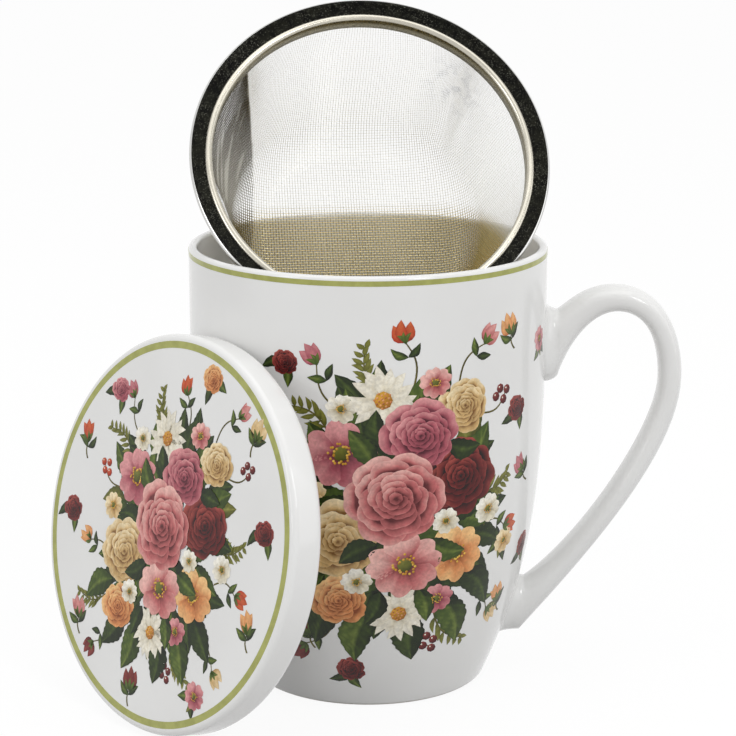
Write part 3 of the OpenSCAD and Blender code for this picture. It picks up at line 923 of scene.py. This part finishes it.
    def twig(self, start, end, bow, kind, tone, level=1):
        self.stem(start, end, bow, 0.55, level)
        turn = atan2(end[1] - start[1], end[0] - start[0])
        if kind == "bud":
            self.bud(end[0], end[1], turn, 5.4, tone, level + 1)
            middle = [(s + 2 * e) / 3 for s, e in zip(start, end)]
            self.leaf(*middle, turn + 0.9, 4.6, 1.9, "leaf", level + 1)
            self.leaf(*middle, turn - 0.9, 4.2, 1.8, "ivy", level + 1)
        elif kind == "berries":
            for k, place in enumerate(((0.4, 0), (-1.4, 1.5), (-1.6, -1.4), (-3.4, 0.6))):
                x, y = stepped(*end, turn, *place)
                self.disc(x, y, 1.15, level + 1 + k % 2, tone, 0.55)
                self.disc(x - 0.35, y + 0.4, 0.22, level + 4, "white", 0.9)
        else:
            for k in range(1, 8):
                t = k / 7
                x, y = [between(s, e, t) for s, e in zip(start, end)]
                x, y = stepped(x, y, turn, 0, bow * sin(t * pi))
                for lean in (0.75, -0.75):
                    self.leaf(x, y, turn + lean, 4.2 * (1.15 - 0.6 * t), 1.25, tone, level + 0.5, 0.5, False)

    def sprig(self, turn, kind, tone):
        # a small separate motif, about 8 mm long
        way = radians(turn)
        if kind == "blossom":
            self.leaf(0, 0, way + 2.5, 6.0, 2.5, "leaf", 1)
            self.leaf(0, 0, way - 2.4, 5.6, 2.4, "ivy", 1)
            self.leaf(0, 0, way + 3.4, 4.6, 2.0, "olive", 2)
            self.blossom(0, 0, 3.6, way, tone, 3)
        elif kind == "rose":
            self.leaf(0, 0, way + 2.4, 6.4, 2.6, "ivy", 1)
            self.leaf(0, 0, way - 2.5, 6.0, 2.6, "leaf", 1)
            self.rose(0, 0, 3.5, way, tone, 2)
        else:
            self.twig(stepped(0, 0, way, -4), (0, 0), 0.6, kind, tone)

    def posy(self, widen=1.0):
        for x, y, tipX, tipY, *rest in paint["twigs"]:
            self.twig((x * widen, y), (tipX * widen, tipY), *rest)
        for ring, (count, wide, high, length, width, level) in enumerate(paint["leafRings"]):
            for k in range(count):
                turn = tau * (k + 0.37 * ring) / count + self.vary(-0.1, 0.1)
                way = atan2(high * sin(turn), wide * cos(turn))
                way += self.vary(-0.4, 0.4)
                size = self.vary(0.82, 1.14)
                tone = self.chance.choice(("leaf", "ivy", "ivy", "olive" if ring == 0 else "leaf"))
                x, y = wide * widen * cos(turn) * 0.94, high * sin(turn) * 0.94
                self.leaf(x, y, way, length * size, width * size, tone, level + k % 2)
        for x, y, turn, length, width, tone, level in paint["leaves"]:
            self.leaf(x * widen, y, radians(turn), length, width, tone, level)
        for kind, x, y, radius, turn, tone, level in paint["blooms"]:
            getattr(self, kind)(x * widen, y, radius, radians(turn), tone, level)

    def lay(self, name, onto):
        # onto turns the flat points (x, y, height) into places on the piece, all in mm
        mesh = bpy.data.meshes.new(name)
        mesh.from_pydata((onto(np.concatenate(self.points)) * mm).tolist(), [], self.faces)
        tint = mesh.color_attributes.new("paint", "FLOAT_COLOR", "POINT")
        colours = np.pad(np.concatenate(self.colours), ((0, 0), (0, 1)), constant_values=1)
        tint.data.foreach_set("color", colours.astype(np.float32).ravel())
        mesh.validate()
        piece = workOn(added(name, mesh))
        bpy.ops.object.shade_smooth()
        print(name, "printed,", 2 * len(self.faces), "triangles")
        return piece


def ontoMug(angle, height):
    def place(points):
        z = height + points[:, 1]
        radius = wallRadius(z)
        turn = radians(angle) + points[:, 0] / radius
        radius = radius + paint["clear"] + points[:, 2]
        return np.stack([radius * np.cos(turn), radius * np.sin(turn), z], 1)
    return place


def ontoLid(x, y, scale):
    def place(points):
        return points * np.array([scale, scale, 1]) + np.array([x, y, lid["thick"] + paint["clear"]])
    return place


def printFinish():
    glaze = Finish("underglazePrint", {"IOR": 1.5, "Specular IOR Level": 0.3})
    place = glaze.place()
    tint = glaze.node("ShaderNodeAttribute", output="Color", attribute_name="paint")
    dots = glaze.spread(glaze.noise(place, paint["dots"], 2.0), 0.35, 0.65, 0.90, 1.06)
    brush = glaze.spread(glaze.noise(place, paint["brush"], 3.0, 0.6), 0.3, 0.7, 0.88, 1.08)
    shaded = glaze.node("ShaderNodeVectorMath", {0: tint, "Scale": dots * brush}, operation="SCALE")
    glaze.feed("Base Color", shaded)
    smears = glaze.noise(place, paint["smears"])
    glaze.feed("Roughness", porcelain["roughness"] + smears * 0.04)
    return glaze


printGlaze = printFinish()
mugPrints = {"angle": -80.0, "height": 53.0, "backAngle": 100.0}
mugSprigs = (  # angle, height, turn, kind, tone
    (-116, 86, 60, "rose", "wine"), (-128, 70, 120, "bud", "red"), (-124, 50, 80, "blossom", "peach"),
    (-134, 32, 40, "rose", "mauve"), (-112, 20, 100, "bud", "wine"), (-40, 90, 110, "bud", "peach"),
    (-36, 72, 70, "rose", "wine"), (-30, 56, 130, "bud", "mauve"), (-38, 40, 60, "blossom", "cream"),
    (-34, 24, 120, "bud", "peach"), (-20, 86, 90, "blossom", "mauve"), (-22, 36, 80, "rose", "wine"),
    (-150, 84, 90, "blossom", "pink"), (-158, 56, 60, "bud", "wine"), (-148, 18, 110, "rose", "wine"),
    (180, 74, 120, "rose", "cream"), (176, 40, 70, "berries", "red"), (150, 86, 60, "bud", "pink"),
    (146, 62, 110, "blossom", "peach"), (152, 34, 80, "rose", "mauve"), (140, 20, 60, "bud", "red"),
    (60, 88, 100, "rose", "wine"), (54, 68, 70, "bud", "peach"), (48, 48, 110, "blossom", "mauve"),
    (56, 28, 80, "rose", "cream"), (26, 80, 60, "bud", "mauve"), (24, 52, 100, "rose", "wine"),
    (28, 24, 90, "bud", "red"), (-97, 11, 75, "rose", "wine"), (83, 11, 75, "rose", "wine"),
)
lidSprigs = (  # x, y, turn, kind, tone
    (34.5, 8, 80, "rose", "wine"), (34, -14.5, 105, "bud", "peach"), (-34, 14.5, 100, "bud", "red"),
    (-36, -2, 70, "rose", "wine"), (-27.5, -26.5, 110, "bud", "pink"), (-24, 29, 60, "rose", "mauve"),
    (27, 27, 75, "bud", "cream"), (19.5, -32.5, 50, "blossom", "mauve"), (-4, -37.5, 95, "bud", "wine"),
    (9, 37.5, 120, "rose", "peach"),
)


def printedSprigs(name, sprigs, seed, ontoSprig):
    # each sprig's first two values say where it goes, the rest how it is drawn
    pieces = []
    for count, (a, b, *drawn) in enumerate(sprigs):
        art = Print(seed + count)
        art.sprig(*drawn)
        pieces.append(art.lay(name + str(count), ontoSprig(a, b)))
    workOn(pieces[0])
    for piece in pieces:
        piece.select_set(True)
    bpy.ops.object.join()
    pieces[0].name = name
    return pieces[0]


for side, angle, seed in (("Front", mugPrints["angle"], 11), ("Back", mugPrints["backAngle"], 12)):
    art = Print(seed)
    art.posy()
    piece = art.lay("mugPrint" + side, ontoMug(angle, mugPrints["height"]))
    belongs(piece, "mug", "porcelain", printGlaze)
belongs(printedSprigs("mugSprigs", mugSprigs, 100, ontoMug), "mug", "porcelain", printGlaze)

art = Print(21)
art.posy(paint["lidWiden"])
lidPrint = art.lay("lidPrint", ontoLid(0, 0, paint["lidScale"]))
put(lidPrint, lidPlace())
belongs(lidPrint, "lid", "porcelain", printGlaze)
lidSprigPrint = printedSprigs("lidSprigs", lidSprigs, 200, lambda x, y: ontoLid(x, y, 1))
put(lidSprigPrint, lidPlace())
belongs(lidSprigPrint, "lid", "porcelain", printGlaze)

studio = {
    "floorSize": 8, "floorLight": (0.5, 0.5, 0.5), "floorWhite": (0.97, 0.97, 0.97),
    "floorSeen": 0.92,  # the rest of the floor's tone keeps the shadow
    "sky": 0.74, "skySeen": 1.0,  # light on the object, and white as it is seen
    "aim": (0, 0, 0.06),
    "softboxes": (  # place, width and height, power
        ("keySoftbox", (0.55, -0.75, 0.75), (0.24, 0.42), 2.1),
        ("fillSoftbox", (-0.8, -0.6, 0.5), (0.25, 0.55), 1.5),
        ("sideSoftbox", (0.9, -0.15, 0.35), (0.4, 0.7), 0.8),
        ("topSoftbox", (0.0, -0.1, 1.0), (0.9, 0.7), 2.1),
    ),
    "camera": (0, -0.55, 0.20741), "lens": 115.17, "sensor": 36, "down": 13.507,
}


def seenShare(tree):
    # 1 where the camera looks, straight or in a shine, and 0 for the light on the object
    rays = tree.nodes.new("ShaderNodeLightPath")
    seen = rays.outputs["Is Camera Ray"]
    for kind in ("Is Glossy Ray", "Is Transmission Ray"):
        most = tree.nodes.new("ShaderNodeMath")
        most.operation = "MAXIMUM"
        tree.links.new(seen, most.inputs[0])
        tree.links.new(rays.outputs[kind], most.inputs[1])
        seen = most.outputs[0]
    return seen


workOn()
bpy.ops.mesh.primitive_plane_add(size=studio["floorSize"])
floor = bpy.context.object
floor.name = "studioFloor"
paper = Finish("studioFloorPaper", {"Roughness": 0.9})
seen = Value(paper, seenShare(paper.tree))
paper.feed("Base Color", paper.mixColours(seen, studio["floorLight"], studio["floorWhite"]))
white = paper.node("ShaderNodeEmission", {"Color": (1, 1, 1, 1), "Strength": 1.0})
lit = Value(paper, paper.shader.outputs[0])
shown = paper.node("ShaderNodeMixShader", {0: seen * studio["floorSeen"], 1: lit, 2: white})
paper.tree.links.new(shown.socket, paper.tree.nodes["Material Output"].inputs["Surface"])
floor.data.materials.append(paper.material)

world = bpy.data.worlds.new("studioWorld")
bpy.context.scene.world = world
world.use_nodes = True
sky = world.node_tree
strength = sky.nodes.new("ShaderNodeMapRange")
sky.links.new(seenShare(sky), strength.inputs["Value"])
strength.inputs["To Min"].default_value = studio["sky"]
strength.inputs["To Max"].default_value = studio["skySeen"]
sky.nodes["Background"].inputs["Color"].default_value = (1, 1, 1, 1)
sky.links.new(strength.outputs["Result"], sky.nodes["Background"].inputs["Strength"])

for name, place, size, power in studio["softboxes"]:
    lamp = bpy.data.lights.new(name, "AREA")
    lamp.shape, lamp.size, lamp.size_y, lamp.energy = "RECTANGLE", *size, power
    box = added(name, lamp)
    box.location = place
    box.rotation_euler = (Vector(studio["aim"]) - Vector(place)).to_track_quat("-Z", "Y").to_euler()

camera = bpy.data.cameras.new("studioCamera")
camera.lens, camera.sensor_width = studio["lens"], studio["sensor"]
view = added("studioCamera", camera)
view.location = studio["camera"]
view.rotation_euler = (radians(90 - studio["down"]), 0, 0)
bpy.context.scene.camera = view
bpy.context.scene.view_settings.view_transform = "Standard"
print("studio set")
